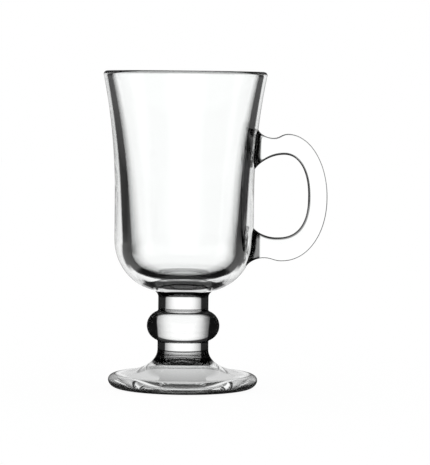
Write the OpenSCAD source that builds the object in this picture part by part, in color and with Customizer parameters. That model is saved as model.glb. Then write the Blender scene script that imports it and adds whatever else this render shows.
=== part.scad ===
// Footed glass mug for Irish coffee, in clear pressed glass.
// The mug stands on z = 0 with its axis on z, and its handle points to +x.
// From the table up it is a foot, a knop, a neck and a bowl, each a separate
// gather of glass that meets the next on a flat disc inside the stem.
// The handle is a flat-sided strap whose two ends spread into pads that lie
// on the bowl's wall.

/* [Overall] */
// Height from the table to the top of the rim
total_h = 151.5; // [140:0.5:175]

/* [Bowl] */
// Outside diameter at the rim
rim_d = 78.2; // [74:0.2:86]
// Outside diameter of the straight part of the bowl
bowl_d = 66.6; // [62:0.2:72]
// Height of the bowl's underside above the table
bowl_z = 45.8; // [44.6:0.2:50]
// Outside radius of the bowl's rounded bottom
bottom_r = 25.2; // [22:0.2:28]
// Height of the straight part of the wall
straight_h = 21.6; // [14:0.2:30]
// Glass thickness at the rim
rim_wall = 3.8; // [3:0.1:4.6]
// Glass thickness at the top of the straight part
mid_wall = 6.4; // [5:0.1:7.4]
// Glass thickness at the foot of the straight part
low_wall = 7.9; // [6.4:0.1:9]
// Glass thickness under the middle of the cavity
base_wall = 8.8; // [6:0.1:12]
// Inside radius of the cavity's rounded bottom
cavity_r = 13.4; // [11:0.1:18]
// Height of the rim's rounded top
lip_h = 1.6; // [1:0.1:2.4]

/* [Stem] */
// Diameter of the neck between the knop and the bowl
neck_d = 24.1; // [20:0.1:27]
// Diameter of the short neck below the knop
lower_neck_d = 24.4; // [20:0.1:27]
// Rounding where the neck runs into the bowl
neck_fillet = 3.2; // [2:0.1:4]
// Largest diameter of the knop
knop_d = 34.8; // [31:0.2:38]
// Height of the knop's widest line above the table
knop_z = 29.8; // [28.6:0.2:31]
// Radius of the knop's bulging side
knop_r = 7.3; // [6:0.1:8]
// Rounding of the creases above and below the knop
crease_r = 1.1; // [0.6:0.1:1.4]

/* [Foot] */
// Outside diameter of the foot
foot_d = 71.6; // [64:0.2:80]
// Outside diameter of the ring that the mug rests on
ring_d = 62; // [58:0.2:64]
// Width of the resting ring
ring_w = 2; // [1.4:0.1:4]
// Depth of the hollow under the foot
hollow_h = 13.8; // [8:0.1:14.8]
// Height of the foot's widest line above the table
edge_z = 3.9; // [2.5:0.1:5.5]
// Height of the foot's top at the start of its rounded edge
shoulder_z = 6.6; // [5.8:0.1:8]
// Diameter at which the foot's top turns into its rounded edge
shoulder_d = 64.2; // [58:0.2:68]
// Height at which the lower neck starts to spread into the foot
spread_z = 18.7; // [16.6:0.1:20]

/* [Handle] */
// Height of the handle's underside above the bowl's underside
handle_lift = 15.7; // [13:0.1:18]
// Height of the handle from its underside to its top
handle_h = 60.6; // [54:0.2:68]
// Distance that the handle stands out from the straight wall
handle_reach = 34.9; // [30:0.1:42]
// Width of the strap across its flat sides
strap_w = 12; // [9:0.2:15]
// Thickness of the strap at the grip
grip_t = 9; // [7:0.1:12]
// Thickness of the strap at the top of the handle
top_t = 9.9; // [8:0.1:13]
// Thickness of the strap at the bottom of the handle
heel_t = 11; // [9:0.1:14]
// Depth of the thumb rest below the handle's top
thumb_dip = 2; // [1:0.1:3]
// Height of the hollow in the handle's underside
heel_rise = 1.4; // [0.8:0.1:3]
// Height of the upper pad on the wall
upper_pad_h = 18.8; // [16:0.2:22]
// Height of the lower pad on the wall
lower_pad_h = 18.8; // [16:0.2:21]
// How far the upper pad reaches above the handle's top
pad_rise = 1.9; // [1:0.1:3]
// How far the lower pad reaches below the handle's underside
pad_drop = 3.4; // [1.5:0.1:4.5]
// How far the pads spread past the strap on each side
pad_spread = 3; // [2:0.1:4]
// Rounding of the strap's outer edges
outer_edge_r = 1.6; // [1:0.1:3]
// Rounding of the strap's inner edges
inner_edge_r = 4; // [2:0.1:4.4]

/* [Hidden] */
glass = [0.86, 0.9, 0.9, 0.45];

// Facets round the axis
round_fn = 128;
// Chords along one arc of a profile, and along one side of the rim's rounded top
arc_n = 14;
lip_n = 8;

rim_r = rim_d / 2;
bowl_r = bowl_d / 2;
neck_r = neck_d / 2;
lower_neck_r = lower_neck_d / 2;

// Centre of the bowl's bottom rounding, and the two ends of the straight wall
bottom_c = [bowl_r - bottom_r, bowl_z + bottom_r];
straight_low_z = bottom_c[1];
straight_top_z = straight_low_z + straight_h;

// Centre of the knop's bulging side
knop_c = [knop_d / 2 - knop_r, knop_z];

function arc(c, r, from, to, n = arc_n) =
    [for (i = [0 : n]) c + r * [cos(from + (to - from) * i / n), sin(from + (to - from) * i / n)]];

function quarter_oval(c, rx, rz, from, n = arc_n) =
    [for (i = [0 : n]) c + [rx * cos(from + 90 * i / n), rz * sin(from + 90 * i / n)]];

function bezier_point(p, t) =
    pow(1 - t, 3) * p[0] + 3 * pow(1 - t, 2) * t * p[1] + 3 * (1 - t) * t * t * p[2] + t * t * t * p[3];

function bezier(p, n = arc_n, ease = 1) = [for (i = [0 : n]) bezier_point(p, pow(i / n, ease))];

function mix(a, b, t) = a + (b - a) * t;

// A small circle of radius f that touches a vertical side at x and a round of
// radius r about c from outside; side is 1 above the round and -1 below it
function fillet_centre(x, f, c, r, side) =
    [x + f, c[1] + side * sqrt(pow(r + f, 2) - pow(x + f - c[0], 2))];

// The point where that circle touches the round
function fillet_touch(x, f, c, r, side) = mix(c, fillet_centre(x, f, c, r, side), r / (r + f));

function direction(from, to) = atan2(to[1] - from[1], to[0] - from[0]);

// Where the gathers of glass meet
bowl_fillet_c = fillet_centre(neck_r, neck_fillet, bottom_c, bottom_r, -1);
bowl_seam = fillet_touch(neck_r, neck_fillet, bottom_c, bottom_r, -1);
upper_crease_c = fillet_centre(neck_r, crease_r, knop_c, knop_r, 1);
upper_seam = fillet_touch(neck_r, crease_r, knop_c, knop_r, 1);
lower_crease_c = fillet_centre(lower_neck_r, crease_r, knop_c, knop_r, -1);
lower_seam = fillet_touch(lower_neck_r, crease_r, knop_c, knop_r, -1);

// An arc from a that leaves it at an angle from the vertical and ends in b
function flare(a, lean, b, n = arc_n) =
    let (d = b - a,
         along = d[0] * sin(lean) + d[1] * cos(lean),
         across = d[0] * cos(lean) - d[1] * sin(lean),
         r = (along * along + across * across) / (2 * across),
         sweep = 2 * atan2(across, along))
    [for (i = [0 : n])
        let (turn = sweep * i / n)
        a + r * (1 - cos(turn)) * [cos(lean), -sin(lean)] + r * sin(turn) * [sin(lean), cos(lean)]];

rim_outer = [rim_r, total_h - lip_h];
rim_inner = [rim_r - rim_wall, total_h - lip_h];
cavity_top = [bowl_r - mid_wall, straight_top_z];
cavity_low = [bowl_r - low_wall, straight_low_z];
cavity_lean = atan2(cavity_top[0] - cavity_low[0], cavity_top[1] - cavity_low[1]);
cavity_z = bowl_z + base_wall;

// Centre of the cavity's bottom rounding, which touches the leaning wall and the floor
cavity_c = [
    cavity_low[0] + (cavity_z + cavity_r - cavity_low[1]) * tan(cavity_lean) - cavity_r / cos(cavity_lean),
    cavity_z + cavity_r
];

bowl_outside = concat(
    arc(bottom_c, bottom_r, direction(bottom_c, bowl_seam), 0),
    flare([bowl_r, straight_top_z], 0, rim_outer)
);
bowl_inside = concat(
    [[0, cavity_z]],
    arc(cavity_c, cavity_r, -90, -cavity_lean),
    flare(cavity_top, cavity_lean, rim_inner)
);

function reversed(list) = [for (i = [len(list) - 1 : -1 : 0]) list[i]];

module revolve(outline) {
    rotate_extrude($fn = round_fn) polygon(outline);
}

// Bowl: straight-sided below, flaring to a fire-polished rim
module bowl() {
    lip_c = (rim_outer + rim_inner) / 2;
    color(glass) revolve(concat(
        [[0, bowl_seam[1]]],
        bowl_outside,
        quarter_oval(lip_c, rim_wall / 2, lip_h, 0, lip_n),
        quarter_oval(lip_c, rim_wall / 2, lip_h, 90, lip_n),
        reversed(bowl_inside)
    ));
}

// Neck: a short column with a round crease at the knop and a fillet at the bowl
module neck() {
    color(glass) revolve(concat(
        [[0, upper_seam[1]]],
        arc(upper_crease_c, crease_r, 180 + direction(knop_c, upper_crease_c), 180),
        arc(bowl_fillet_c, neck_fillet, 180, direction(bowl_fillet_c, bottom_c)),
        [[0, bowl_seam[1]]]
    ));
}

// Knop: a rounded bulge that the fingers hold the stem by
module knop() {
    color(glass) revolve(concat(
        [[0, lower_seam[1]]],
        arc(knop_c, knop_r, direction(knop_c, lower_seam), direction(knop_c, upper_seam), 2 * arc_n),
        [[0, upper_seam[1]]]
    ));
}

// Foot: a broad disc that rises to the lower neck, with a bell-shaped hollow underneath
module foot() {
    foot_r = foot_d / 2;
    ring_r = ring_d / 2;
    hollow_edge = ring_r - ring_w;
    // How far the hollow stays level round its top, and where its wall turns into the brim
    level_share = 0.5;
    brim_share = 0.66;
    brim_rise_share = 0.05;
    shoulder = [shoulder_d / 2, shoulder_z];
    // The top leaves the shoulder at this slope, and the two pulls shape its sweep
    top_slope_share = 0.143;
    shoulder_pull_share = 0.76;
    neck_pull_share = 0.46;
    neck_foot = [lower_neck_r, spread_z];
    run = shoulder[0] - neck_foot[0];
    rise = neck_foot[1] - shoulder[1];
    color(glass) revolve(concat(
        bezier([
            [0, hollow_h],
            [level_share * hollow_edge, hollow_h],
            [brim_share, brim_rise_share] * hollow_edge,
            [hollow_edge, 0]
        ], 2 * arc_n),
        [[ring_r, 0]],
        quarter_oval([ring_r, edge_z], foot_r - ring_r, edge_z, -90),
        quarter_oval([shoulder[0], edge_z], foot_r - shoulder[0], shoulder[1] - edge_z, 0),
        bezier([
            shoulder,
            shoulder + shoulder_pull_share * run * [-1, top_slope_share],
            neck_foot - [0, neck_pull_share * rise],
            neck_foot
        ], 2 * arc_n),
        arc(lower_crease_c, crease_r, 180, 180 + direction(knop_c, lower_crease_c)),
        [[0, lower_seam[1]]]
    ));
}

// Radius of the bowl's wall at a height, on the same chords as the bowl itself
wall_table = [for (p = bowl_outside) [p[1], p[0]]];
function wall_r(z) = lookup(z, wall_table);
function wall_x(y, z) = sqrt(pow(wall_r(z), 2) - y * y);
function on_wall(z) = [wall_r(z), z];

// The handle's side view: heights of its outline, and the opening's edges
handle_low = bowl_z + handle_lift;
handle_top = handle_low + handle_h;
grip_x = bowl_r + handle_reach;
hole_x = grip_x - grip_t;
hole_top = handle_top - top_t;
hole_low = handle_low + heel_t;
hole_mid = (hole_top + hole_low) / 2;
outer_mid = handle_low + handle_h / 2;
hole_reach = hole_x - bowl_r;

// Where the round stretches start, as shares of how far they stand out
crown_share = 0.46;
heel_share = 0.38;
hole_crown_share = 0.55;
hole_heel_share = 0.42;
dip_share = 0.26;
hollow_share = 0.14;
crown = [bowl_r + crown_share * handle_reach, handle_top];
heel = [bowl_r + heel_share * handle_reach, handle_low];
hole_crown = [bowl_r + hole_crown_share * hole_reach, hole_top];
hole_heel = [bowl_r + hole_heel_share * hole_reach, hole_low];
dip = [bowl_r + dip_share * handle_reach, handle_top - thumb_dip];
hollow = [bowl_r + hollow_share * handle_reach, handle_low + heel_rise];

// How square each round stretch is; 2 is an ellipse
crown_square = 2;
heel_square = 2.08;
hole_top_square = 2.2;
hole_low_square = 2.5;

// A quarter of a squarish oval about (start's x, mid height), from its top or
// bottom point start to its outermost point
function bend(start, reach_x, mid_z, square, n) =
    [for (i = [1 : n])
        let (a = 90 * i / n)
        [start[0] + (reach_x - start[0]) * pow(sin(a), 2 / square),
         mid_z + (start[1] - mid_z) * pow(cos(a), 2 / square)]];

// Rings in one arm, which are closer together at the pad, and in one bend
arm_n = 12;
bend_n = 11;
arm_ease = 1.6;

// Pad tips on the wall
upper_pad_top = on_wall(handle_top + pad_rise);
upper_pad_low = on_wall(handle_top + pad_rise - upper_pad_h);
lower_pad_low = on_wall(handle_low - pad_drop);
lower_pad_top = on_wall(handle_low - pad_drop + lower_pad_h);

// A wavy edge from a pad tip over a dip to a round stretch
function waved_edge(tip, middle, end) =
    let (near = middle[0] - tip[0], far = end[0] - middle[0])
    concat(
        bezier([tip, mix(tip, [middle[0], tip[1]], 0.1) + [0, (middle[1] - tip[1]) * 0.5],
                middle - [near * 0.45, 0], middle], arm_n / 2, arm_ease),
        [for (p = bezier([middle, middle + [far * 0.45, 0], end - [far * 0.45, 0], end], arm_n / 2))
            if (p != middle) p]
    );

// The plain edge on the finger side of an arm
function plain_edge(tip, end) =
    let (run = end[0] - tip[0], rise = end[1] - tip[1])
    bezier([tip, tip + [run * 0.12, rise * 0.38], end - [run * 0.5, 0], end], arm_n, 1.25);

upper_outer = waved_edge(upper_pad_top, dip, crown);
lower_outer = waved_edge(lower_pad_low, hollow, heel);
upper_inner = plain_edge(upper_pad_low, hole_crown);
lower_inner = plain_edge(lower_pad_top, hole_heel);

outer_edge = concat(
    upper_outer,
    bend(crown, grip_x, outer_mid, crown_square, bend_n),
    reversed(concat([heel], [for (p = bend(heel, grip_x, outer_mid, heel_square, bend_n))
        if (p[0] < grip_x) p])),
    [for (i = [len(lower_outer) - 2 : -1 : 0]) lower_outer[i]]
);
inner_edge = concat(
    upper_inner,
    bend(hole_crown, hole_x, hole_mid, hole_top_square, bend_n),
    reversed(concat([hole_heel], [for (p = bend(hole_heel, hole_x, hole_mid, hole_low_square, bend_n))
        if (p[0] < hole_x) p])),
    [for (i = [len(lower_inner) - 2 : -1 : 0]) lower_inner[i]]
);

// Points on one corner of the strap's section, and between two corners
corner_n = 4;
side_n = 4;
face_n = 2;

function corner(c, r, from) = arc(c, r, from, from + 90, corner_n);
function between(a, b, n) = [for (i = [1 : 1 : n - 1]) mix(a, b, i / n)];

// Section of the strap: the first value runs from the finger side to the
// outside, and the second across the strap
function section(t, w, r_out, r_in) =
    let (out_c = [t / 2 - r_out, w / 2 - r_out],
         in_c = [t / 2 - r_in, w / 2 - r_in],
         a = corner([out_c[0], out_c[1]], r_out, 0),
         b = corner([-in_c[0], in_c[1]], r_in, 90),
         c = corner([-in_c[0], -in_c[1]], r_in, 180),
         d = corner([out_c[0], -out_c[1]], r_out, 270))
    concat(a, between(a[corner_n], b[0], side_n), b, between(b[corner_n], c[0], face_n),
           c, between(c[corner_n], d[0], side_n), d, between(d[corner_n], a[0], face_n));

// How much wider than the strap a pad is at a distance from the wall
function spread(d) = d >= pad_spread ? 0 : pad_spread - sqrt(pow(pad_spread, 2) - pow(pad_spread - d, 2));

// The rings follow the wall at a pad and become flat over this distance
flatten_share = 0.7;
flatten_l = flatten_share * strap_w;

function ring(i, scale_by = 1) =
    let (o = outer_edge[i],
         n = inner_edge[i],
         first = i < len(outer_edge) / 2,
         tip_o = first ? outer_edge[0] : outer_edge[len(outer_edge) - 1],
         tip_n = first ? inner_edge[0] : inner_edge[len(inner_edge) - 1],
         t = norm(o - n),
         e = (o - n) / t,
         m = (o + n) / 2,
         away = max(0, m[0] - (tip_o[0] + tip_n[0]) / 2),
         more = spread(away),
         fade = pow(max(0, 1 - away / flatten_l), 2),
         s = section(t, strap_w + 2 * more, outer_edge_r + more, min(inner_edge_r + more, t / 2.1)))
    [for (q = s)
        let (p = m + scale_by * q[0] * e,
             share = 0.5 + scale_by * q[0] / t,
             tip = mix(tip_n, tip_o, share),
             y = scale_by * q[1])
        [p[0] + fade * (wall_x(y, tip[1]) - tip[0]), -y, p[1]]];

// Cap rings inside a pad lie on the wall and shrink to its middle
cap_shares = [0.75, 0.5, 0.25, 0.02];
ring_count = len(outer_edge);
rings = concat(
    [for (k = reversed(cap_shares)) ring(0, k)],
    [for (i = [0 : ring_count - 1]) ring(i)],
    [for (k = cap_shares) ring(ring_count - 1, k)]
);

// Handle: a bent strap with a thumb rest on top, fused to the bowl by two pads
module handle() {
    m = len(rings[0]);
    last = len(rings) - 1;
    skin = [for (i = [0 : last - 1]) for (j = [0 : m - 1])
        let (a = i * m + j, b = i * m + (j + 1) % m)
        each [[a, b, b + m], [a, b + m, a + m]]];
    start_cap = [for (j = [1 : m - 2]) [0, j + 1, j]];
    end_cap = [for (j = [1 : m - 2]) [last * m, last * m + j, last * m + j + 1]];
    color(glass) polyhedron([for (r = rings) each r], concat(skin, start_cap, end_cap), convexity = 6);
}

bowl();
neck();
knop();
foot();
handle();
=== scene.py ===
"""A footed glass mug for Irish coffee, in clear pressed glass, on a pale table.

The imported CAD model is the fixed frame. Each sub-assembly below builds its
pieces of glass at the frame's place and size with more facets, and stands for
the CAD nodes of the same form. Where two pieces are fused, the faces between
them let light straight through, so the glass is one body to the eye.

Sizes in the classes are in millimetres and angles in degrees. Meshes are in
metres.
"""

import logging
import math
from bisect import bisect_right
from dataclasses import dataclass, replace
from enum import Enum, IntEnum
from functools import cached_property, reduce

import bmesh
import bpy
from bmesh.types import BMesh, BMFace
from bpy.types import Material, Node, NodeSocket as Socket, NodeTree as Tree, Object
from mathutils import Euler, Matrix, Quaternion, Vector


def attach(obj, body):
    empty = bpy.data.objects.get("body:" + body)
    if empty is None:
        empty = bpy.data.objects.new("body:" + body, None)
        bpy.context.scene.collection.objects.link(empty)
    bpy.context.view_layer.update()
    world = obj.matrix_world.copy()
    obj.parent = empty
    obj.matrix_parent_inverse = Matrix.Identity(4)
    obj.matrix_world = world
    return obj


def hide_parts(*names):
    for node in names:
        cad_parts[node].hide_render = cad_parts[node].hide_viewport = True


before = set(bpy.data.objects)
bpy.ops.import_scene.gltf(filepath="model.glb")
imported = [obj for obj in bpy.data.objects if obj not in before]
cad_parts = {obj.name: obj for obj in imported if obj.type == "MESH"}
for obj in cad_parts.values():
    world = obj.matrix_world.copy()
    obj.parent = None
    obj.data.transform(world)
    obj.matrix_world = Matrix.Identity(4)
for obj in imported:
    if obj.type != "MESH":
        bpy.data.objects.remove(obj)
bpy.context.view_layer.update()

log = logging.getLogger("mug")

MM = 0.001
# Closest distance at which two points of a mesh count as one, in metres
WELD = 2e-7
# Edges that turn by more than this many degrees are drawn sharp
SHARP_TURN = 30
# A face whose normal rises more than this, this near the axis in metres, is the cavity's floor
FLOOR_RISE = 0.9
FLOOR_REACH = 0.020
# Stops of painted shade that count in widths lie within this many widths of the critical slant
PAINTED_SHADE_SPAN = 2.0
# What a radial gradient reads towards +Y; it falls from there towards +X
GRADIENT_AT_Y = 0.75
UNIT = (0.0, 1.0)
WHITE = (1.0, 1.0, 1.0, 1.0)
PAINTED_SHADE_BLACK = (0.0, 0.0, 0.0, 1.0)

Outline = list[Vector]
Span = tuple[float, float]
Triple = tuple[float, float, float]
Stops = tuple[Span, ...]
Inputs = dict[str | int, Socket | float | tuple[float, ...]]


class Slot(IntEnum):
    """Material slots of a piece of glass."""

    SKIN = 0
    SEAM = 1
    CORE = 2
    MARK = 3


class Side(IntEnum):
    """Which side of a round a fillet lies on."""

    ABOVE = 1
    BELOW = -1


# ---- curves


def at(x: float, z: float) -> Vector:
    """Return a point, or a step, of a section: x away from the axis and z up."""
    return Vector((x, z))


def oval(centre: Vector, reach: Vector, start: float, end: float, count: int) -> Outline:
    """Return count chords of an upright oval between two angles in degrees."""
    turns = [math.radians(start + (end - start) * i / count) for i in range(count + 1)]
    return [centre + reach * at(math.cos(a), math.sin(a)) for a in turns]


def arc(centre: Vector, radius: float, start: float, end: float, count: int) -> Outline:
    """Return count chords of a circle between two angles in degrees."""
    return oval(centre, at(radius, radius), start, end, count)


def bezier(points: Outline, count: int, ease: float = 1.0) -> Outline:
    """Return points along a cubic curve.

    Args:
        points: The two ends with the two pulls between them.
        count: Number of chords.
        ease: Above 1, the points lie closer together near the start.

    Returns:
        count + 1 points.
    """
    a, b, c, d = points
    pairs = [(t, 1 - t) for t in ((i / count) ** ease for i in range(count + 1))]
    return [u**3 * a + 3 * u**2 * t * b + 3 * u * t * t * c + t**3 * d for t, u in pairs]


def flare(start: Vector, lean: float, end: Vector, count: int) -> Outline:
    """Return the arc that leaves a point at an angle from the vertical and ends in another.

    Args:
        start: First point.
        lean: The arc's first direction, in degrees from the vertical.
        end: Last point.
        count: Number of chords.

    Returns:
        count + 1 points.
    """
    lean = math.radians(lean)
    outward = at(math.cos(lean), -math.sin(lean))
    upward = at(math.sin(lean), math.cos(lean))
    along, across = (end - start).dot(upward), (end - start).dot(outward)
    radius = (along**2 + across**2) / (2 * across)
    sweep = 2 * math.atan2(across, along)
    turns = [sweep * i / count for i in range(count + 1)]
    return [start + radius * ((1 - math.cos(t)) * outward + math.sin(t) * upward) for t in turns]


def heading(start: Vector, end: Vector) -> float:
    """Return the direction from one point to another, in degrees."""
    return math.degrees(math.atan2(end.y - start.y, end.x - start.x))


@dataclass(frozen=True)
class Fillet:
    """A small round between an upright side and a larger round, seen in section.

    Attributes:
        x: Where the upright side stands.
        radius: Radius of the fillet.
        centre: Centre of the larger round.
        reach: Radius of the larger round.
        side: Whether the fillet is above or below the larger round.
    """

    x: float
    radius: float
    centre: Vector
    reach: float
    side: Side

    @property
    def middle(self) -> Vector:
        """Centre of the fillet."""
        across = self.x + self.radius - self.centre.x
        up = math.sqrt((self.reach + self.radius) ** 2 - across**2)
        return at(self.x + self.radius, self.centre.y + self.side * up)

    @property
    def touch(self) -> Vector:
        """Point where the fillet meets the larger round."""
        return self.centre.lerp(self.middle, self.reach / (self.reach + self.radius))

    def points(self, count: int) -> Outline:
        """Return the fillet's chords from the larger round to the upright side or back."""
        angle = heading(self.middle, self.centre) % 360
        ends = (angle, 180) if self.side is Side.ABOVE else (180, angle)
        return arc(self.middle, self.radius, *ends, count)


# ---- nodes


def feed(tree: Tree, node: Node, inputs: Inputs) -> None:
    """Give a node's inputs other nodes' values, or fixed ones.

    Args:
        tree: Node tree that it is in.
        node: The node.
        inputs: Its inputs, with what each is given.
    """
    for name, value in inputs.items():
        if isinstance(value, Socket):
            tree.links.new(value, node.inputs[name])
        else:
            node.inputs[name].default_value = value


def add(tree: Tree, kind: str, inputs: Inputs | None = None) -> Node:
    """Add a shader node.

    Args:
        tree: Node tree that it goes into.
        kind: Its kind, as in the names of the shader nodes' types.
        inputs: Its inputs, with what each is given.

    Returns:
        The node.
    """
    node = tree.nodes.new("ShaderNode" + kind)
    feed(tree, node, inputs or {})
    return node


def ramp(tree: Tree, value: Socket, stops: Stops) -> Socket:
    """Add a curve of straight pieces.

    Args:
        tree: Node tree that it goes into.
        value: What it reads, from 0 to 1.
        stops: Readings, each with the curve's value there.

    Returns:
        The curve's value.
    """
    node = add(tree, "ValToRGB", {"Fac": value})
    made = node.color_ramp.elements
    while len(made) < len(stops):
        made.new(0.5)
    for element, (position, level) in zip(made, sorted(stops)):
        element.position = position
        element.color = (level, level, level, 1.0)
    return node.outputs["Color"]


def remapped(
    tree: Tree, value: Socket, source: Span, result: tuple[float, float | Socket]
) -> Socket:
    """Add a straight change from one pair of values to another.

    Args:
        tree: Node tree that it goes into.
        value: What it reads.
        source: Where the change starts and ends.
        result: The values there; the second may be another node's.

    Returns:
        The changed value.
    """
    (low, high), (start, end) = source, result
    inputs = {"Value": value, "From Min": low, "From Max": high, "To Min": start, "To Max": end}
    return add(tree, "MapRange", inputs).outputs["Result"]


def combined(tree: Tree, how: str, a: Socket, b: Socket | float) -> Socket:
    """Add arithmetic on two values.

    Args:
        tree: Node tree that it goes into.
        how: What is done, such as MULTIPLY or MAXIMUM.
        a: The first value.
        b: The second, another node's or a number.

    Returns:
        The result.
    """
    node = add(tree, "Math", {0: a, 1: b})
    node.operation = how
    return node.outputs["Value"]


def times(tree: Tree, a: Socket, b: Socket | float) -> Socket:
    """Add the product of two values."""
    return combined(tree, "MULTIPLY", a, b)


def object_place(tree: Tree) -> Socket:
    """Add the object coordinates."""
    return add(tree, "TexCoord").outputs["Object"]


def height_of(tree: Tree, place: Socket) -> Socket:
    """Add the height of a place, given its object coordinates."""
    return add(tree, "SeparateXYZ", {"Vector": place}).outputs["Z"]


def from_axis(tree: Tree, place: Socket) -> Socket:
    """Add how far a place is from the mug's axis.

    Args:
        tree: Node tree that it goes into.
        place: Object coordinates.

    Returns:
        The distance in metres.
    """
    flat = add(tree, "VectorMath", {0: place, 1: (1.0, 1.0, 0.0)})
    flat.operation = "MULTIPLY"
    away = add(tree, "VectorMath", {0: flat.outputs["Vector"]})
    away.operation = "LENGTH"
    return away.outputs["Value"]


def seen_by(tree: Tree) -> tuple[Socket, Socket]:
    """Add what kind of ray sees a surface.

    Args:
        tree: Node tree that it goes into.

    Returns:
        1 for a ray through glass or off a gloss, and 1 for such a ray or the camera's own.
    """
    path = add(tree, "LightPath").outputs
    through = combined(tree, "MAXIMUM", path["Is Glossy Ray"], path["Is Transmission Ray"])
    return through, combined(tree, "MAXIMUM", through, path["Is Camera Ray"])


def show(tree: Tree, shader: Socket) -> None:
    """Make a shader the one that the surface or the world has."""
    end = next(n for n in tree.nodes if n.bl_idname.startswith("ShaderNodeOutput"))
    tree.links.new(shader, end.inputs["Surface"])


def show_mixed(tree: Tree, share: Socket, a: Socket, b: Socket) -> None:
    """Show a mix of two shaders, given the share of the second."""
    show(tree, add(tree, "MixShader", {"Fac": share, 1: a, 2: b}).outputs["Shader"])


def new_material(name: str) -> Material:
    """Return a new material with nodes."""
    made = bpy.data.materials.new(name)
    made.use_nodes = True
    return made


# ---- finishes


class Way(Enum):
    """Which side of a face the painted shade darkens: where the ray goes into the glass, or out of
    it.
    """

    IN = "into the glass"
    OUT = "out of the glass"


@dataclass(frozen=True)
class PaintedEdgeShade:
    """Painted shade on glass: black mixed in where it is seen at a slant, in place of the dark
    surroundings that real glass bends into its edges.

    Attributes:
        way: Which way the light goes.
        stops: Slants, from 0 for square on to 1 for grazing, and how dark the painted shade is
            there.
        bulge: Height of a bulge's middle, in metres, and how much the slants rise away from it,
            per square metre, so that the clear part between the dark sides has straight ends.
        above: Heights, in metres, between which the painted shade sets in, if it doesn't
            everywhere.
        beyond: Distances from the axis, in metres, between which it sets in, likewise.
        critical: The slant at which the light is thrown back whole, if the stops count from it.
        widths: Heights, in metres, and how wide the stops' unit is there, if they count from it.
    """

    way: Way
    stops: Stops
    bulge: Span | None = None
    above: Span | None = None
    beyond: Span | None = None
    critical: float = 0.0
    widths: tuple[Span, Span] | None = None

    def amount(self, tree: Tree) -> Socket:
        """Add how dark the painted shade makes the glass.

        Args:
            tree: Node tree that it goes into.

        Returns:
            The painted shade's darkness, from 0 to 1.
        """
        slant = add(tree, "LayerWeight").outputs["Facing"]
        place = object_place(tree)
        height = height_of(tree, place)
        stops = self.stops
        if self.bulge:
            off = combined(tree, "SUBTRACT", height, self.bulge[0])
            rise = times(tree, times(tree, off, off), self.bulge[1])
            slant = combined(tree, "SUBTRACT", slant, rise)
        if self.widths:
            (low, wide), (high, narrow) = self.widths
            width = remapped(tree, height, (low, high), (wide, narrow))
            slant = combined(tree, "SUBTRACT", slant, self.critical)
            slant = combined(tree, "DIVIDE", slant, width)
            slant = remapped(tree, slant, (-PAINTED_SHADE_SPAN, PAINTED_SHADE_SPAN), UNIT)
            stops = tuple(((1 + p / PAINTED_SHADE_SPAN) / 2, v) for p, v in stops)
        passing = add(tree, "NewGeometry").outputs["Backfacing"]
        if self.way is Way.IN:
            passing = remapped(tree, passing, UNIT, (1.0, 0.0))
        found = times(tree, ramp(tree, slant, stops), passing)
        for span, reading in ((self.above, height), (self.beyond, from_axis(tree, place))):
            if span:
                found = times(tree, found, remapped(tree, reading, span, UNIT))
        return found


@dataclass(frozen=True)
class Glass:
    """Clear fire-polished glass with the faint waviness that a mould leaves, and painted shade at
    its edges.

    Attributes:
        name: Name of the finish.
        edges: Painted shade that darkens it where it is seen at a slant.
        tint: Colour of the glass.
        tint_shift: Slightly greener colour that it drifts to in places.
        ior: Index of refraction.
        roughness: Roughness of its dullest places.
        dull_range: Levels of a noise between which it gets dull.
        drift_scale: Grains of the tint's noise per metre.
        dull_scale: Grains of the dullness's noise per metre.
        wave_scale: Number of waves per metre.
        wave_height: Height of the waves, in metres.
    """

    name: str
    edges: tuple[PaintedEdgeShade, ...]
    tint: Triple = (0.985, 0.99, 0.988)
    tint_shift: Triple = (0.972, 0.982, 0.978)
    ior: float = 1.5
    roughness: float = 0.004
    dull_range: Span = (0.45, 0.75)
    drift_scale: float = 36.0
    dull_scale: float = 240.0
    wave_scale: float = 60.0
    wave_height: float = 2e-6

    def material(self) -> Material:
        """Make the node material of this glass.

        Returns:
            The material.
        """
        made = new_material(self.name)
        tree = made.node_tree
        place = object_place(tree)
        drift = self._noise(tree, place, self.drift_scale, 2.0)
        tints = {"Factor": drift, 6: (*self.tint, 1.0), 7: (*self.tint_shift, 1.0)}
        tint = add(tree, "Mix", tints)
        tint.data_type = "RGBA"
        grain = self._noise(tree, place, self.dull_scale, 3.0)
        waves = self._noise(tree, place, self.wave_scale, 1.0)
        bump = add(tree, "Bump", {"Distance": self.wave_height, "Height": waves})
        shader = tree.nodes["Principled BSDF"]
        inputs = {
            "IOR": self.ior,
            "Transmission Weight": 1.0,
            "Base Color": tint.outputs[2],
            "Roughness": remapped(tree, grain, self.dull_range, (0.0, self.roughness)),
            "Normal": bump.outputs["Normal"],
        }
        feed(tree, shader, inputs)
        # Painted shade: black mixed into the glass where its faces are seen at a slant
        dark = add(tree, "BsdfDiffuse", {"Color": PAINTED_SHADE_BLACK})
        painted_shades = [edge.amount(tree) for edge in self.edges]
        amount = reduce(lambda a, b: combined(tree, "MAXIMUM", a, b), painted_shades)
        show_mixed(tree, amount, shader.outputs["BSDF"], dark.outputs["BSDF"])
        return made

    @staticmethod
    def _noise(tree: Tree, place: Socket, scale: float, detail: float) -> Socket:
        """Add a noise, given its grains per metre and its number of finer layers."""
        inputs = {"Vector": place, "Scale": scale, "Detail": detail}
        return add(tree, "TexNoise", inputs).outputs["Fac"]


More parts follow.
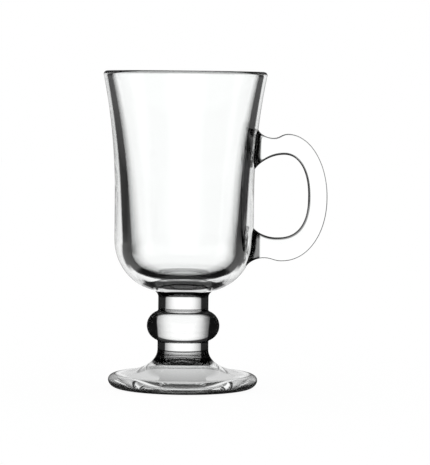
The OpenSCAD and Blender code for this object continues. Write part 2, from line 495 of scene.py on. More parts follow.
# Heights and distances below are in metres. The glass is darkened with painted shade in place of
# dark surroundings. Light that meets the cavity's wall from within the glass is thrown back or bent
# far aside, and is painted dark there.
PAINTED_CAVITY_FADE = (
    *((-1.4, 0.0), (-1.15, 0.04), (-0.9, 0.18), (-0.65, 0.34)),
    *((-0.4, 0.5), (-0.12, 0.72), (0.0, 0.99)),
)
CAVITY_PAINTED_SHADE = PaintedEdgeShade(
    Way.OUT,
    (*PAINTED_CAVITY_FADE, (1.2, 0.99), (1.5, 0.0)),
    above=(0.0590, 0.0620),
    critical=0.2546,
    widths=((0.050, 0.1), (0.150, 0.0275)),
)
LOW_CAVITY_PAINTED_SHADE = replace(
    CAVITY_PAINTED_SHADE, stops=(*PAINTED_CAVITY_FADE, (0.85, 0.97), (1.05, 0.0)), above=(0.0650, 0.0620)
)
# The cavity's floor and its rounded corner throw back what comes from below at a slant; painted
# shade darkens them there
FLOOR_PAINTED_SHADE = PaintedEdgeShade(Way.OUT, ((0.53, 0.0), (0.57, 0.97)), above=(0.0550, 0.0548))
CORNER_PAINTED_SHADE = PaintedEdgeShade(
    Way.OUT, ((0.39, 0.0), (0.42, 0.97)), above=(0.0557, 0.0553), beyond=(0.0118, 0.0126)
)
# Painted shade on the outermost glass of the wall, and on the rim
WALL_PAINTED_SHADE = PaintedEdgeShade(
    Way.IN, ((0.45, 0.0), (0.6, 0.12), (0.85, 0.25), (0.97, 0.6)), above=(0.0480, 0.0520)
)
RIM_PAINTED_SHADE = PaintedEdgeShade(Way.IN, ((0.0, 0.5), (0.5, 0.65), (0.8, 0.9)), above=(0.1498, 0.1505))
# A solid round stem bends the light at its sides far across; painted shade darkens its sides
STEM_PAINTED_SHADE = PaintedEdgeShade(
    Way.IN, ((0.04, 0.0), (0.107, 0.14), (0.178, 0.36), (0.24, 0.54), (0.28, 0.64), (0.306, 0.98))
)
KNOP_PAINTED_SHADE = replace(STEM_PAINTED_SHADE, bulge=(0.0301, 10400.0))
KNOP_ENDS_PAINTED_SHADE = PaintedEdgeShade(Way.IN, ((0.42, 0.0), (0.55, 0.95)))
LOWER_NECK_PAINTED_SHADE = replace(STEM_PAINTED_SHADE, above=(0.0115, 0.0135))
# Painted shade on the top of the hollow under the foot
BELL_PAINTED_SHADE = PaintedEdgeShade(Way.OUT, ((0.15, 0.0), (0.35, 0.5)), above=(0.0100, 0.0115))
# Painted shade on the strap's rounded edges, and on its pads near the wall
STRAP_PAINTED_SHADE = PaintedEdgeShade(Way.IN, ((0.3, 0.0), (0.4, 0.6), (0.7, 0.92)))
PAD_PAINTED_SHADE = PaintedEdgeShade(Way.IN, ((0.0, 0.75), (0.15, 0.95)), beyond=(0.0371, 0.0363))
# Painted shade on the foot's top, its brim and the round under the brim
FOOT_TOP_PAINTED_SHADE = PaintedEdgeShade(Way.IN, ((0.5, 0.0), (0.8, 0.17)))
FOOT_PAINTED_SHADE = PaintedEdgeShade(Way.IN, ((0.72, 0.0), (0.92, 0.9)), beyond=(0.0315, 0.0325))
UNDER_PAINTED_SHADE = PaintedEdgeShade(
    Way.IN, ((0.2, 0.0), (0.5, 0.93)), above=(0.0045, 0.0032), beyond=(0.0312, 0.0318)
)


@dataclass(frozen=True)
class FusedSeam:
    """The face between two fused pieces, which light passes as if it weren't there."""

    name: str = "fused_seam"

    def material(self) -> Material:
        """Return the see-through material, made once and shared.

        Returns:
            The material.
        """
        if self.name in bpy.data.materials:
            return bpy.data.materials[self.name]
        made = new_material(self.name)
        tree = made.node_tree
        show(tree, add(tree, "BsdfTransparent").outputs["BSDF"])
        tree.nodes.remove(tree.nodes["Principled BSDF"])
        return made


# ---- pieces


def as_object(name: str, bm: BMesh, looks: tuple[Material, ...] = ()) -> Object:
    """Turn a mesh into an object of the scene.

    Args:
        name: Name of the object.
        bm: Its mesh in metres, which is kept.
        looks: Its materials, in the order of their slots.

    Returns:
        The new object.
    """
    mesh = bpy.data.meshes.new(name)
    bm.to_mesh(mesh)
    for look in looks:
        mesh.materials.append(look)
    made = bpy.data.objects.new(name, mesh)
    bpy.context.scene.collection.objects.link(made)
    return made


def fill(bm: BMesh, slot: Slot) -> None:
    """Give all faces of a solid one slot."""
    for face in bm.faces:
        face.material_index = slot


def finished(
    name: str, bm: BMesh, finish: Glass, node: str, core: Glass | None = None
) -> Object:
    """Turn a mesh into a piece of the mug.

    Args:
        name: Name of the piece.
        bm: Its mesh in metres, which is freed.
        finish: The glass that it is made of.
        node: CAD node that it stands for.
        core: The glass of its faces on the cavity's side, if they differ.

    Returns:
        The new object.
    """
    for face in bm.faces:
        face.smooth = True
        if core and face.material_index == Slot.SKIN and looks_inward(face):
            face.material_index = Slot.CORE
    for edge in bm.edges:
        faces = edge.link_faces
        split = len(faces) == 2 and sum(f.material_index == Slot.SEAM for f in faces) == 1
        edge.smooth = not split and edge.calc_face_angle(0.0) < math.radians(SHARP_TURN)
    finishes = [f for f in (finish, FusedSeam(), core) if f]
    piece = as_object(name, bm, tuple(f.material() for f in finishes))
    bm.free()
    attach(piece, "root")
    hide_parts(node)
    return piece


def looks_inward(face: BMFace) -> bool:
    """Tell whether a face of a bowl is on the cavity's side."""
    middle = face.calc_center_median()
    across = face.normal.x * middle.x + face.normal.y * middle.y
    floor = face.normal.z > FLOOR_RISE and middle.xy.length < FLOOR_REACH
    return across < 0.0 or floor


def spun(chain: list[Triple], turn: float, steps: int) -> BMesh:
    """Spin a chain of points round the mug's axis.

    Args:
        chain: The points, in metres.
        turn: How far they go round, in radians.
        steps: Facets that they leave behind.

    Returns:
        The spun surface.
    """
    bm = bmesh.new()
    points = [bm.verts.new(place) for place in chain]
    links = [bm.edges.new(pair) for pair in zip(points, points[1:])]
    bmesh.ops.spin(
        bm,
        geom=points + links,
        cent=(0.0, 0.0, 0.0),
        axis=(0.0, 0.0, 1.0),
        angle=turn,
        steps=steps,
        use_merge=turn == math.tau,
        use_duplicate=False,
    )
    return bm


def revolved(outline: Outline, facets: int, seams: tuple[float, ...]) -> BMesh:
    """Spin an outline round the mug's axis into a closed solid.

    A quarter is spun and mirrored twice.

    Args:
        outline: Points from the axis to the axis, in millimetres.
        facets: Facets round the axis, a multiple of four.
        seams: Heights of its flat discs that are fused to another piece, in millimetres.

    Returns:
        The solid in metres, with those discs in the seam's slot.
    """
    bm = spun([(p.x * MM, 0.0, p.y * MM) for p in outline], math.tau / 4, facets // 4)
    for axis in ("X", "Y"):
        whole = [*bm.verts, *bm.edges, *bm.faces]
        bmesh.ops.mirror(bm, geom=whole, axis=axis, merge_dist=5 * WELD)
    bmesh.ops.remove_doubles(bm, verts=bm.verts, dist=WELD)
    bmesh.ops.recalc_face_normals(bm, faces=bm.faces)
    for face in bm.faces:
        if any(all(abs(v.co.z - z * MM) < 10 * WELD for v in face.verts) for z in seams):
            face.material_index = Slot.SEAM
    return bm


@dataclass
class Bowl:
    """The drinking bowl: a rounded heavy bottom, a straight wall and a flared rim."""

    total_h: float = 151.5
    rim_d: float = 78.2
    bowl_d: float = 66.6
    bowl_z: float = 45.8
    bottom_r: float = 25.2
    straight_h: float = 21.6
    rim_wall: float = 3.8
    mid_wall: float = 6.4
    low_wall: float = 7.9
    base_wall: float = 8.8
    cavity_r: float = 13.4
    lip_h: float = 1.6
    neck_d: float = 24.1
    neck_fillet: float = 3.2
    facets: int = 192
    chords: int = 48
    wall_chords: int = 8
    lip_chords: int = 24
    finish: Glass = Glass("bowl_clear_glass", (WALL_PAINTED_SHADE, RIM_PAINTED_SHADE))
    core_finish: Glass = Glass(
        "bowl_core_glass", (CAVITY_PAINTED_SHADE, LOW_CAVITY_PAINTED_SHADE, FLOOR_PAINTED_SHADE, CORNER_PAINTED_SHADE)
    )

    @property
    def bowl_r(self) -> float:
        """Outside radius of the straight wall."""
        return self.bowl_d / 2

    @property
    def bottom_c(self) -> Vector:
        """Centre of the bottom's rounding, seen in section."""
        return at(self.bowl_r - self.bottom_r, self.bowl_z + self.bottom_r)

    @property
    def straight_top(self) -> float:
        """Height where the straight wall ends."""
        return self.bottom_c.y + self.straight_h

    @property
    def neck_round(self) -> Fillet:
        """The fillet where the neck runs into the bowl."""
        return Fillet(self.neck_d / 2, self.neck_fillet, self.bottom_c, self.bottom_r, Side.BELOW)

    @property
    def seam(self) -> Vector:
        """Outer edge of the disc where the bowl meets the neck."""
        return self.neck_round.touch

    def outside(self) -> Outline:
        """Return the outer wall from the seam to the rim."""
        start = heading(self.bottom_c, self.seam)
        rim = at(self.rim_d / 2, self.total_h - self.lip_h)
        foot = at(self.bowl_r, self.straight_top)
        rounded = arc(self.bottom_c, self.bottom_r, start, 0, self.chords)
        straight = self._between(at(foot.x, self.bottom_c.y), foot)
        return [*rounded, *straight, *flare(foot, 0, rim, self.chords)]

    def _between(self, start: Vector, end: Vector) -> Outline:
        """Return the points that divide a straight stretch of wall, without its ends."""
        n = self.wall_chords
        return [start.lerp(end, i / n) for i in range(1, n)]

    def inside(self) -> Outline:
        """Return the cavity's wall from its floor to the rim."""
        top = at(self.bowl_r - self.mid_wall, self.straight_top)
        low = at(self.bowl_r - self.low_wall, self.bottom_c.y)
        lean = math.atan2(top.x - low.x, top.y - low.y)
        z = self.bowl_z + self.base_wall + self.cavity_r
        x = low.x + (z - low.y) * math.tan(lean) - self.cavity_r / math.cos(lean)
        lean = math.degrees(lean)
        rim = at(self.rim_d / 2 - self.rim_wall, self.total_h - self.lip_h)
        rounded = arc(at(x, z), self.cavity_r, -90, -lean, self.chords)
        return [
            at(0.0, self.bowl_z + self.base_wall),
            *rounded,
            *self._between(rounded[-1], top),
            *flare(top, lean, rim, self.chords),
        ]

    def outline(self) -> Outline:
        """Return the whole section from the seam's middle over the rim to the cavity's floor."""
        outer, inner = self.outside(), self.inside()
        half = self.rim_wall / 2
        lip = outer[-1] - at(half, 0.0)
        return [
            at(0.0, self.seam.y),
            *outer,
            *oval(lip, at(half, self.lip_h), 0, 180, self.lip_chords)[1:],
            *reversed(inner[:-1]),
        ]

    @cached_property
    def _wall(self) -> list[Span]:
        """Heights and radii of the outer wall."""
        return [(p.y, p.x) for p in self.outside()]

    def wall_r(self, z: float) -> float:
        """Return the outer wall's radius at a height, on the bowl's own chords."""
        above = min(max(bisect_right(self._wall, (z, 0.0)), 1), len(self._wall) - 1)
        (low, r), (high, s) = self._wall[above - 1], self._wall[above]
        return r + (s - r) * (z - low) / (high - low)

    def solid(self) -> BMesh:
        """Return the bowl's solid with its seam disc marked."""
        return revolved(self.outline(), self.facets, (self.seam.y,))


@dataclass
class Stem:
    """The neck, the knop and the foot under the bowl."""

    bowl: Bowl
    lower_neck_d: float = 24.4
    knop_d: float = 34.8
    knop_z: float = 29.8
    knop_r: float = 7.3
    crease_r: float = 1.1
    foot_d: float = 71.6
    ring_d: float = 62.0
    ring_w: float = 2.0
    hollow_h: float = 13.8
    edge_z: float = 3.9
    shoulder_z: float = 6.6
    shoulder_d: float = 64.2
    spread_z: float = 18.7
    top_slope: float = 0.143
    shoulder_pull: float = 0.76
    neck_pull: float = 0.46
    level_share: float = 0.5
    brim_share: float = 0.66
    brim_rise_share: float = 0.05
    facets: int = 192
    chords: int = 36
    stem_finish: Glass = Glass("stem_clear_glass", (STEM_PAINTED_SHADE,))
    knop_finish: Glass = Glass("knop_clear_glass", (KNOP_PAINTED_SHADE, KNOP_ENDS_PAINTED_SHADE))
    foot_finish: Glass = Glass(
        "foot_clear_glass", (LOWER_NECK_PAINTED_SHADE, BELL_PAINTED_SHADE, FOOT_TOP_PAINTED_SHADE, FOOT_PAINTED_SHADE, UNDER_PAINTED_SHADE)
    )

    @property
    def knop_c(self) -> Vector:
        """Centre of the knop's bulging side, seen in section."""
        return at(self.knop_d / 2 - self.knop_r, self.knop_z)

    @property
    def upper_crease(self) -> Fillet:
        """The crease between the neck and the knop."""
        return self._crease(self.bowl.neck_d, Side.ABOVE)

    @property
    def lower_crease(self) -> Fillet:
        """The crease between the knop and the lower neck."""
        return self._crease(self.lower_neck_d, Side.BELOW)

    def _crease(self, width: float, side: Side) -> Fillet:
        """Return the fillet between the knop and a neck of this width."""
        return Fillet(width / 2, self.crease_r, self.knop_c, self.knop_r, side)

    def neck(self) -> BMesh:
        """Return the short column between the knop and the bowl."""
        low, high = self.upper_crease, self.bowl.neck_round
        side = [*low.points(self.chords // 2), *high.points(self.chords)]
        return self._column(side, low.touch, high.touch)

    def knop(self) -> BMesh:
        """Return the rounded bulge."""
        low, high = self.lower_crease.touch, self.upper_crease.touch
        start, end = heading(self.knop_c, low), heading(self.knop_c, high)
        side = arc(self.knop_c, self.knop_r, start, end, 2 * self.chords)
        return self._column(side, low, high)

    def _column(self, side: Outline, low: Vector, high: Vector) -> BMesh:
        """Return a solid of this side between two seams, whose outer edges are given."""
        ends = (low.y, high.y)
        return revolved([at(0.0, low.y), *side, at(0.0, high.y)], self.facets, ends)

    def foot(self) -> BMesh:
        """Return the broad foot with its bell-shaped hollow and the lower neck on top."""
        foot_r, ring_r, shoulder_r = self.foot_d / 2, self.ring_d / 2, self.shoulder_d / 2
        hollow_r = ring_r - self.ring_w
        hollow = [
            at(0.0, self.hollow_h),
            at(self.level_share * hollow_r, self.hollow_h),
            at(self.brim_share, self.brim_rise_share) * hollow_r,
            at(hollow_r, 0.0),
        ]
        shoulder = at(shoulder_r, self.shoulder_z)
        neck = at(self.lower_neck_d / 2, self.spread_z)
        pull = self.shoulder_pull * (shoulder.x - neck.x)
        drop = self.neck_pull * (neck.y - shoulder.y)
        slope = shoulder + pull * at(-1.0, self.top_slope)
        top = [shoulder, slope, neck - at(0.0, drop), neck]
        crease = self.lower_crease
        ring, edge = at(ring_r, self.edge_z), at(shoulder_r, self.edge_z)
        under, over = at(foot_r - ring_r, self.edge_z), at(foot_r - shoulder_r, shoulder.y - edge.y)
        n = self.chords
        outline = [
            *bezier(hollow, 2 * n),
            *oval(ring, under, -90, 0, n // 2),
            *oval(edge, over, 0, 90, n // 2)[1:],
            *bezier(top, 2 * n)[1:],
            *crease.points(n // 2),
            at(0.0, crease.touch.y),
        ]
        return revolved(outline, self.facets, (crease.touch.y,))

    def build(self) -> list[Object]:
        """Build and dress the three pieces, from the neck down."""
        return [
            finished("stem_neck", self.neck(), self.stem_finish, "neck"),
            finished("stem_knop", self.knop(), self.knop_finish, "knop"),
            finished("pressed_foot", self.foot(), self.foot_finish, "foot"),
        ]


@dataclass
class Handle:
    """The flat-sided strap with its thumb rest and its two spreading pads."""

    bowl: Bowl
    handle_lift: float = 15.7
    handle_h: float = 60.6
    handle_reach: float = 34.9
    strap_w: float = 12.0
    grip_t: float = 9.0
    top_t: float = 9.9
    heel_t: float = 11.0
    thumb_dip: float = 2.0
    heel_rise: float = 1.4
    upper_pad_h: float = 18.8
    lower_pad_h: float = 18.8
    pad_rise: float = 1.9
    pad_drop: float = 3.4
    pad_spread: float = 3.0
    outer_edge_r: float = 1.6
    inner_edge_r: float = 4.0
    crown_share: float = 0.46
    heel_share: float = 0.38
    hole_crown_share: float = 0.55
    hole_heel_share: float = 0.42
    dip_share: float = 0.26
    hollow_share: float = 0.14
    crown_square: float = 2.0
    heel_square: float = 2.08
    hole_top_square: float = 2.2
    hole_low_square: float = 2.5
    flatten_share: float = 0.7
    # The finger side's roundings take at most the strap's thickness divided by this
    round_limit: float = 2.1
    # Pulls of the arms' curves, as shares of their runs and rises, and how their points crowd
    tip_pull: Span = (0.1, 0.5)
    dip_pull: float = 0.45
    tip_ease: float = 1.6
    arch_pull: Span = (0.12, 0.38)
    arch_end_pull: float = 0.5
    arch_ease: float = 1.25
    arm_chords: int = 48
    bend_chords: int = 36
    corner_chords: int = 8
    side_chords: int = 6
    face_chords: int = 4
    # How far the raw strap's ends reach into the wall, and stand off it at the fold
    root_depth: float = 1.5
    root_lift: float = 0.02
    finish: Glass = Glass("handle_clear_glass", (STRAP_PAINTED_SHADE, PAD_PAINTED_SHADE))

    def _edges(self) -> tuple[Outline, Outline]:
        """Return the strap's outer and inner edges in its side view, point for point."""
        r, reach = self.bowl.bowl_r, self.handle_reach
        low = self.bowl.bowl_z + self.handle_lift
        top = low + self.handle_h
        grip_x, hole_x = r + reach, r + reach - self.grip_t
        hole_top, hole_low = top - self.top_t, low + self.heel_t
        crown, heel = at(r + self.crown_share * reach, top), at(r + self.heel_share * reach, low)
        hole_crown = at(r + self.hole_crown_share * (hole_x - r), hole_top)
        hole_heel = at(r + self.hole_heel_share * (hole_x - r), hole_low)
        dip = at(r + self.dip_share * reach, top - self.thumb_dip)
        hollow = at(r + self.hollow_share * reach, low + self.heel_rise)
        high_tip, low_tip = top + self.pad_rise, low - self.pad_drop
        outer_mid, hole_mid = (top + low) / 2, (hole_top + hole_low) / 2
        outer = [
            *self._waved(self._on_wall(high_tip), dip, crown),
            *self._bend(crown, grip_x, outer_mid, self.crown_square),
            *reversed(self._bend(heel, grip_x, outer_mid, self.heel_square)[:-1]),
            *reversed(self._waved(self._on_wall(low_tip), hollow, heel)),
        ]
        inner = [
            *self._plain(self._on_wall(high_tip - self.upper_pad_h), hole_crown),
            *self._bend(hole_crown, hole_x, hole_mid, self.hole_top_square),
            *reversed(self._bend(hole_heel, hole_x, hole_mid, self.hole_low_square)[:-1]),
            *reversed(self._plain(self._on_wall(low_tip + self.lower_pad_h), hole_heel)),
        ]
        return outer, inner

    def _on_wall(self, z: float) -> Vector:
        """Return the wall's point at a height, seen from the side."""
        return at(self.bowl.wall_r(z), z)

    def _waved(self, tip: Vector, middle: Vector, end: Vector) -> Outline:
        """Return the outer edge of an arm.

        Args:
            tip: The pad's tip on the wall.
            middle: Deepest point of the dip.
            end: Where the arm turns into the bend.

        Returns:
            arm_chords + 1 points.
        """
        near = middle - tip
        n = self.arm_chords // 2
        pull = tip + near * Vector(self.tip_pull)
        level = at(self.dip_pull, 0.0)
        first = bezier([tip, pull, middle - near * level, middle], n, self.tip_ease)
        reach = (end - middle) * level
        return first + bezier([middle, middle + reach, end - reach, end], n)[1:]

    def _plain(self, tip: Vector, end: Vector) -> Outline:
        """Return the edge on the finger side of an arm, from the pad's tip to the bend."""
        run = end - tip
        pulls = tip + run * Vector(self.arch_pull), end - run * at(self.arch_end_pull, 0.0)
        return bezier([tip, *pulls, end], self.arm_chords, self.arch_ease)

    def _bend(self, start: Vector, reach_x: float, mid_z: float, square: float) -> Outline:
        """Return a quarter of a squarish oval.

        Args:
            start: The oval's top or bottom point, which is left out.
            reach_x: How far out the oval reaches.
            mid_z: Height of its outermost point.
            square: Its squareness; 2 is an ellipse.

        Returns:
            bend_chords points.
        """
        mid = at(start.x, mid_z)
        size = at(reach_x, start.y) - mid
        turns = [math.radians(90 * i / self.bend_chords) for i in range(1, self.bend_chords + 1)]
        shares = [(math.sin(a), max(0.0, math.cos(a))) for a in turns]
        return [mid + size * at(x ** (2 / square), z ** (2 / square)) for x, z in shares]

    def _section(self, thick: float, wide: float, outer_r: float, inner_r: float) -> Outline:
        """Return the strap's section, a rectangle with two roundings.

        Args:
            thick: Size from the finger side to the outside.
            wide: Size across the flat sides.
            outer_r: Rounding of the outside's edges.
            inner_r: Rounding of the finger side's edges.

        Returns:
            Points of the closed section, with the first one not repeated.
        """
        out_c = at(thick / 2 - outer_r, wide / 2 - outer_r)
        in_c = at(thick / 2 - inner_r, wide / 2 - inner_r)
        n = self.corner_chords
        corners = [
            arc(out_c, outer_r, 0, 90, n),
            arc(at(-in_c.x, in_c.y), inner_r, 90, 180, n),
            arc(-in_c, inner_r, 180, 270, n),
            arc(at(out_c.x, -out_c.y), outer_r, 270, 360, n),
        ]
        gaps = [self.side_chords, self.face_chords, self.side_chords, self.face_chords]
        found: Outline = []
        for k, gap in enumerate(gaps):
            a, b = corners[k][-1], corners[(k + 1) % 4][0]
            found += corners[k] + [a.lerp(b, i / gap) for i in range(1, gap)]
        return found

    def _spread(self, away: float) -> float:
        """Return how much wider than the strap a pad is at a distance from the wall."""
        if away >= self.pad_spread:
            return 0.0
        return self.pad_spread - math.sqrt(self.pad_spread**2 - (self.pad_spread - away) ** 2)

    def _ring(self, outer: Vector, inner: Vector, tips: tuple[Vector, Vector]) -> list[Vector]:
        """Return one section of the strap in space.

        Args:
            outer: Its point on the outer edge.
            inner: Its point on the finger side.
            tips: The outer and inner tips of the nearer pad.

        Returns:
            The section's points, which follow the bowl's wall near the pad.
        """
        thick = (outer - inner).length
        across = (outer - inner) / thick
        middle = (outer + inner) / 2
        away = max(0.0, middle.x - (tips[0].x + tips[1].x) / 2)
        more = self._spread(away)
        fade = max(0.0, 1 - away / (self.flatten_share * self.strap_w)) ** 2
        inner_r = min(self.inner_edge_r + more, thick / self.round_limit)
        found = []
        for q in self._section(thick, self.strap_w + 2 * more, self.outer_edge_r + more, inner_r):
            p = middle + q.x * across
            tip = tips[1].lerp(tips[0], 0.5 + q.x / thick)
            wall = math.sqrt(self.bowl.wall_r(tip.y) ** 2 - q.y**2)
            found.append(Vector((p.x + fade * (wall - tip.x), -q.y, p.y)))
        return found

    def strap(self) -> BMesh:
        """Return the raw strap, whose two ends still reach into the bowl's wall."""
        pairs = list(zip(*self._edges()))
        half = (len(pairs) + 1) // 2
        rings = [self._ring(*pair, pairs[0 if i < half else -1]) for i, pair in enumerate(pairs)]
        for k in (0, -1):
            rings[k] = [p + Vector((self.root_lift, 0.0, 0.0)) for p in rings[k]]
        sunk = Vector((self.root_depth + self.root_lift, 0.0, 0.0))
        rings = [[p - sunk for p in rings[0]], *rings, [p - sunk for p in rings[-1]]]
        around = len(rings[0])
        bm = bmesh.new()
        # The grid runs from -0.5 to 0.5 both ways, along the strap and round its section
        bmesh.ops.create_grid(bm, x_segments=len(rings) - 1, y_segments=around, size=0.5)
        for v in bm.verts:
            i = round((v.co.x + 0.5) * (len(rings) - 1))
            j = round((v.co.y + 0.5) * around) % around
            v.co = rings[i][j] * MM
        bmesh.ops.remove_doubles(bm, verts=bm.verts, dist=WELD)
        bmesh.ops.holes_fill(bm, edges=[e for e in bm.edges if e.is_boundary], sides=around)
        bmesh.ops.recalc_face_normals(bm, faces=bm.faces)
        return bm


@dataclass
class Fusing:
    """Joins the handle to the bowl, so that each pad's face is the wall's own face."""

    bowl: Bowl
    handle: Handle

    def build(self) -> list[Object]:
        """Build and dress the bowl and the handle."""
        raw_bowl, raw_strap = self.bowl.solid(), self.handle.strap()
        wall, strap = as_object("wall", raw_bowl), as_object("strap", raw_strap)
        fill(raw_bowl, Slot.SEAM)
        fill(raw_strap, Slot.MARK)
        whole_wall = as_object("whole_wall", raw_bowl)
        marked_strap = as_object("marked_strap", raw_strap)
        raw_bowl.free()
        raw_strap.free()
        handle = self._cut(strap, whole_wall, "DIFFERENCE")
        bowl = self._cut(wall, marked_strap, "DIFFERENCE")
        plug = self._cut(wall, marked_strap, "INTERSECT")
        for bm in (bowl, plug):
            marked = [f for f in bm.faces if f.material_index == Slot.MARK]
            bmesh.ops.delete(bm, geom=marked, context="FACES")
        fill(plug, Slot.SEAM)
        patch = bpy.data.meshes.new("patch")
        plug.to_mesh(patch)
        plug.free()
        bowl.from_mesh(patch)
        bmesh.ops.remove_doubles(bowl, verts=bowl.verts, dist=WELD)
        for scrap in (wall, strap, whole_wall, marked_strap):
            bpy.data.objects.remove(scrap)
        skin, core = self.bowl.finish, self.bowl.core_finish
        return [
            finished("drinking_bowl", bowl, skin, "bowl", core),
            finished("strap_handle", handle, self.handle.finish, "handle"),
        ]

    @staticmethod
    def _cut(target: Object, tool: Object, how: str) -> BMesh:
        """Cut one solid by another.

        Args:
            target: The solid that is cut.
            tool: The solid that cuts it.
            how: The kind of cut.

        Returns:
            The cut solid; its faces keep the slots of the solids that they come from.
        """
        cut = target.modifiers.new("cut", "BOOLEAN")
        cut.operation = how
        cut.solver = "EXACT"
        cut.material_mode = "INDEX"
        cut.object = tool
        bpy.context.view_layer.update()
        graph = bpy.context.evaluated_depsgraph_get()
        bm = bmesh.new()
        bm.from_mesh(target.evaluated_get(graph).data)
        target.modifiers.remove(cut)
        return bm


@dataclass(frozen=True)
class Viewpoint:
    """The camera, where the photograph's stood.

    Attributes:
        place: Its place in metres; it looks along +Y, a little down.
        pitch: How far down it looks, in degrees.
        roll: How far it leans to one side, in degrees.
        lens: Its focal length in millimetres on a sensor of the given width.
        sensor: Width of the sensor in millimetres.
    """

    place: Triple = (0.0148, -1.2159, 0.13999)
    pitch: float = 3.077
    roll: float = 0.62
    lens: float = 213.0
    sensor: float = 36.0

    def build(self) -> None:
        """Make the camera and give it to the scene."""
        data = bpy.data.cameras.new("camera")
        data.sensor_fit = "HORIZONTAL"
        data.sensor_width = self.sensor
        data.lens = self.lens
        camera = bpy.data.objects.new("camera", data)
        camera.location = self.place
        turn = Euler((math.radians(90 - self.pitch), 0.0, 0.0)).to_quaternion()
        camera.rotation_mode = "QUATERNION"
        camera.rotation_quaternion = turn @ Quaternion((0.0, 0.0, 1.0), math.radians(self.roll))
        bpy.context.scene.collection.objects.link(camera)
        bpy.context.scene.camera = camera


@dataclass(frozen=True)
class CardRing:
    """Light and dark cards all round, out of the picture, which give clear glass its edges.

    Attributes:
        distance: How far the cards stand from the mug, in metres.
        fade_from: Height above which the light cards fade, in metres.
        height: Height where the dark ceiling begins, in metres.
        lit: Strength of the light cards.
        ceiling: Strength of the ceiling.
        facets: Number of cards.
        levels: Directions, in degrees from +Y towards +X, and how light the cards are there.
            They count from -90 to 270, and one past an end counts at that end.
    """

    distance: float = 3.0
    fade_from: float = 1.5
    height: float = 1.95
    lit: float = 1.08
    ceiling: float = 0.03
    facets: int = 96
    levels: Stops = (
        *((-110.0, 0.3), (-100.0, 1.0), (-82.0, 1.0), (-72.0, 0.3)),
        *((-36.0, 0.3), (-30.0, 0.45), (-24.0, 0.75), (-18.0, 0.93), (-12.0, 1.0)),
        *((33.9, 1.0), (34.1, 0.3), (72.0, 0.3), (82.0, 1.0), (100.0, 1.0), (110.0, 0.3)),
        *((142.0, 0.3), (155.0, 1.0), (205.0, 1.0), (218.0, 0.3), (250.0, 0.3)),
    )

    def level(self, tree: Tree, place: Socket) -> Socket:
        """Add the cards' level by direction.

        Args:
            tree: Node tree that it goes into.
            place: Object coordinates.

        Returns:
            The level.
        """
        turn = add(tree, "TexGradient", {"Vector": place})
        turn.gradient_type = "RADIAL"
        stops = tuple((GRADIENT_AT_Y - a / 360, v) for a, v in self.levels)
        return ramp(tree, turn.outputs["Fac"], stops)

    def build(self) -> None:
        """Stand the cards round the mug, under their ceiling."""
        middle, top, foot = (0.0, self.height), (self.distance, self.height), (self.distance, 0.0)
        bm = spun([(x, 0.0, z) for x, z in (middle, top, foot)], math.tau, self.facets)
        bmesh.ops.remove_doubles(bm, verts=bm.verts, dist=WELD)
        ring = as_object("card_ring", bm, (self._look(),))
        bm.free()
        ring.visible_camera = ring.visible_diffuse = ring.visible_shadow = False

    def _look(self) -> Material:
        """Return the cards' material, light and dark by direction and dark at the top."""
        look = new_material("light_and_dark_cards")
        tree = look.node_tree
        tree.nodes.remove(tree.nodes["Principled BSDF"])
        place = object_place(tree)
        heights = self.fade_from, self.height
        fade = remapped(tree, height_of(tree, place), heights, (self.lit, self.ceiling))
        glow = add(tree, "Emission", {"Strength": times(tree, self.level(tree, place), fade)})
        show(tree, glow.outputs["Emission"])
        return look


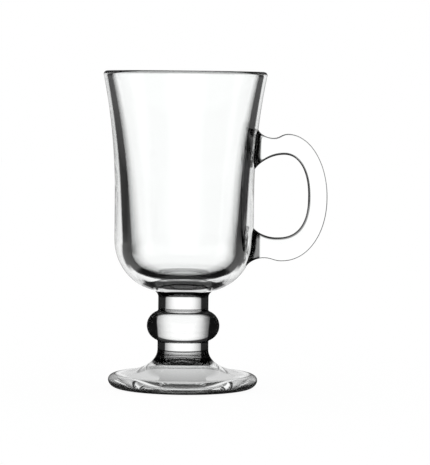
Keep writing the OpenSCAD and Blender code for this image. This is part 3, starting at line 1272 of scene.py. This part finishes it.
@dataclass(frozen=True)
class Studio:
    """The pale table, the white surroundings, the ring of cards and the soft light.

    Attributes:
        table_half: Half the table's width, in metres.
        table_drop: How far the table's top lies under the foot, in metres.
        paint: Level of the table's grey paint.
        paint_roughness: Roughness of the paint.
        glow: How much of the table's look is its own glow, and not its paint.
        seen: Strength of the glow to the camera, which with the paint comes to white.
        light: Level of the soft light from all round.
        cards: The ring of cards.
        lit: How bright the table is in the glass where it has no painted shadow.
        near: Distances from the axis, in metres, and how light the table is there in the glass,
            with a painted shadow under and round the foot.
        far: Distances between which the table in the glass takes on the cards' levels, painted
            light and shade, in metres.
    """

    table_half: float = 4.0
    table_drop: float = 0.0001
    paint: float = 0.86
    paint_roughness: float = 0.9
    glow: float = 0.92
    seen: float = 1.028
    light: float = 0.8
    cards: CardRing = CardRing()
    lit: float = 1.06
    # Painted shadow: in the glass the table is darker under the foot and darkest in a ring round it
    near: Stops = ((0.0, 0.66), (0.036, 0.66), (0.042, 0.1), (0.08, 0.1), (0.09, 1.0))
    far: Span = (0.6, 1.5)

    def build(self) -> None:
        """Set up the surroundings."""
        scene = bpy.context.scene
        scene.view_settings.view_transform = "Standard"
        scene.cycles.max_bounces = scene.cycles.transmission_bounces = 32
        scene.cycles.glossy_bounces = 24
        scene.cycles.transparent_max_bounces = 64
        self._table()
        self._surroundings()
        self.cards.build()

    def _table(self) -> None:
        """Lay the pale table, which keeps the mug's soft shadow."""
        bm = bmesh.new()
        bmesh.ops.create_grid(bm, x_segments=1, y_segments=1, size=self.table_half)
        bmesh.ops.translate(bm, verts=bm.verts, vec=(0.0, 0.0, -self.table_drop))
        table = as_object("table", bm, (self._table_look(),))
        bm.free()

    def _table_look(self) -> Material:
        """Return the table's material, part paint and part glow."""
        look = new_material("pale_table")
        tree = look.node_tree
        paint = tree.nodes["Principled BSDF"]
        colour = (self.paint, self.paint, self.paint, 1.0)
        inputs = {"Base Color": colour, "Roughness": self.paint_roughness}
        feed(tree, paint, {**inputs, "Specular IOR Level": 0.0})
        through, seen = seen_by(tree)
        strength = remapped(tree, through, UNIT, (self.seen, self._painted_table_in_glass(tree)))
        share = remapped(tree, through, UNIT, (self.glow, 1.0))
        glow = add(tree, "Emission", {"Strength": strength}).outputs["Emission"]
        show_mixed(tree, times(tree, share, seen), paint.outputs["BSDF"], glow)
        return look

    def _painted_table_in_glass(self, tree: Tree) -> Socket:
        """Add how light the table is where the glass shows it: a painted shadow round the foot, and
        the cards' levels painted on further out.
        """
        place = object_place(tree)
        away = from_axis(tree, place)
        near = times(tree, ramp(tree, away, self.near), self.lit)
        far = remapped(tree, away, self.far, (1.0, self.cards.level(tree, place)))
        return times(tree, near, far)

    def _surroundings(self) -> None:
        """Make the world white where it is seen, and a plain soft light elsewhere."""
        world = bpy.data.worlds.new("studio")
        bpy.context.scene.world = world
        world.use_nodes = True
        tree = world.node_tree
        soft = tree.nodes["Background"]
        feed(tree, soft, {"Color": WHITE, "Strength": self.light})
        white = add(tree, "Background", {"Color": WHITE, "Strength": 1.0})
        shaders = (node.outputs["Background"] for node in (soft, white))
        show_mixed(tree, seen_by(tree)[1], *shaders)


def main() -> None:
    """Build the pieces in order and report them."""
    logging.basicConfig(level=logging.INFO, format="%(message)s")
    Viewpoint().build()
    Studio().build()
    bowl = Bowl()
    for piece in [*Stem(bowl).build(), *Fusing(bowl, Handle(bowl)).build()]:
        log.info("%s: %d faces", piece.name, len(piece.data.polygons))


if __name__ == "__main__":
    main()
